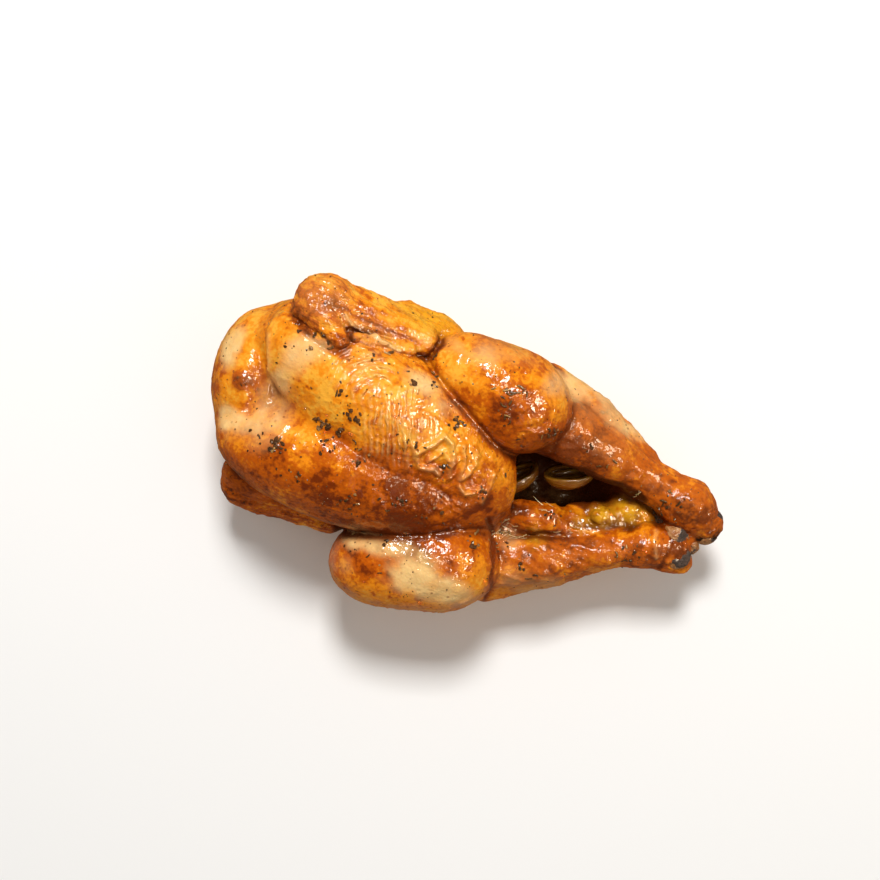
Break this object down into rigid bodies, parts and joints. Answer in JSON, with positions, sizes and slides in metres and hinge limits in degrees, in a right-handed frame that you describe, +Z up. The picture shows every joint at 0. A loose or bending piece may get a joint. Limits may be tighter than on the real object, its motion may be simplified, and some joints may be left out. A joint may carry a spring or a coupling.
{
  "type": "roast chicken",
  "caption": "Whole roast chicken lying on its back with its legs drawn together, wings folded and onion petals in its open vent.",
  "frame": {"origin": "centre of the bounding box's base, on the surface the bird lies on", "axes": "+X along the bird from the neck to the ankles, +Y towards the bird's left, +Z up through the breast"},
  "size_m": [0.2831, 0.158, 0.11],
  "materials": {
    "roast_skin": "crisp golden-brown skin, basted and glossy, paler at the neck and under the legs",
    "cooked_onion": "soft translucent cooked onion, glossy",
    "seasoning": "cracked black pepper and dried herb flakes, matt",
    "knuckle": "charred cartilage at the ends of the legs, dry",
    "basting_juice": "wet drops of fat and juice"
  },
  "bodies": {
    "root": {"roast_chicken": "roast_skin", "onion_petal_front": "cooked_onion", "onion_petal_rear": "cooked_onion"}
  },
  "joints": []
}
